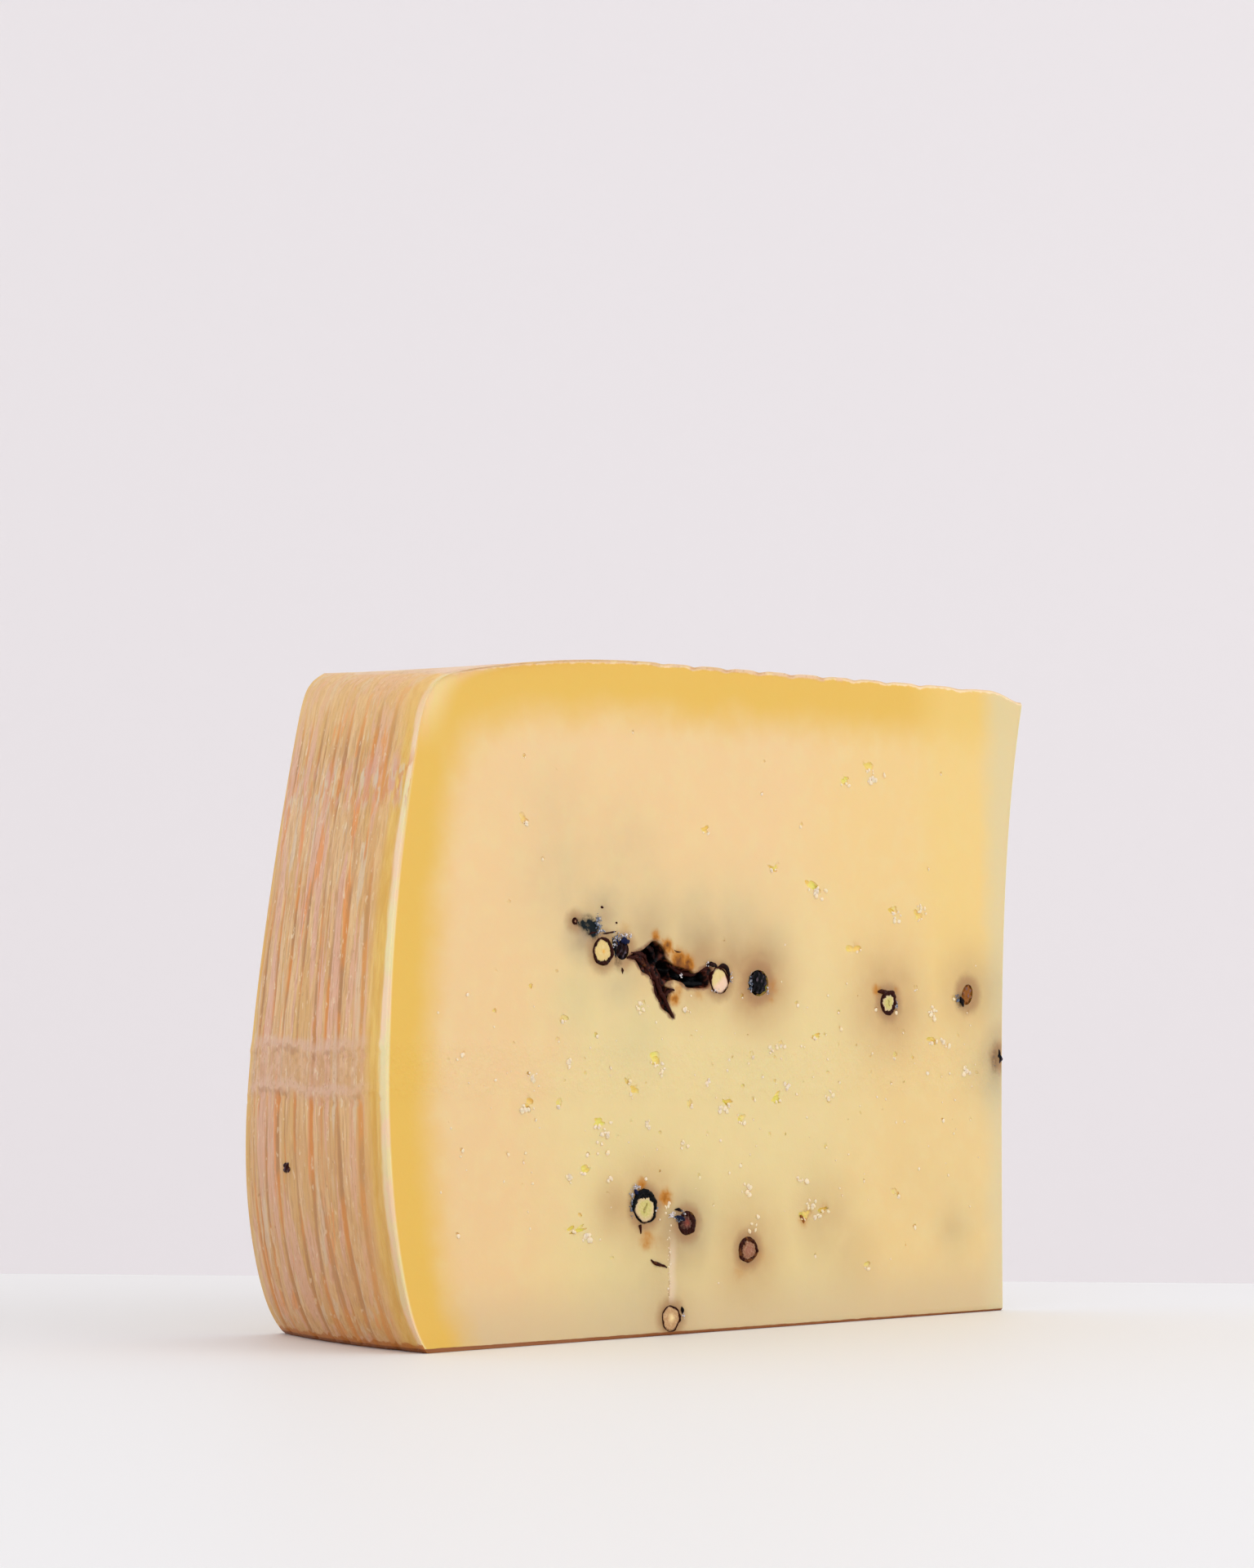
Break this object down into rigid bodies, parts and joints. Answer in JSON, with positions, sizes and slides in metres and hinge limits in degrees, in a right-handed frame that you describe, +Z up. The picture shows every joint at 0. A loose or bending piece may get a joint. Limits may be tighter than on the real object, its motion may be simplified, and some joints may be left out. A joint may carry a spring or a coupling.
{
  "type": "peppered pecorino wedge",
  "caption": "Full-height wedge of a barrel-sided pecorino wheel with ridged rind and black peppercorns in both cut faces.",
  "frame": {"origin": "middle of the wedge's footprint, on the surface it stands on", "axes": "+Z up; +X from the rind heel towards the tip; -Y is the side of the pictured cut face"},
  "size_m": [0.1652, 0.0566, 0.1209],
  "materials": {
    "pecorino_paste": "pale straw-yellow cut cheese, faintly moist, with an orange-tan ridged rind",
    "black_peppercorn": "wrinkled brown-black peppercorn skin",
    "peppercorn_core": "sliced peppercorn core, pale and mealy",
    "white_bloom": "powdery white mould bloom"
  },
  "bodies": {
    "root": {"pecorino_wedge": "pecorino_paste"}
  },
  "joints": []
}
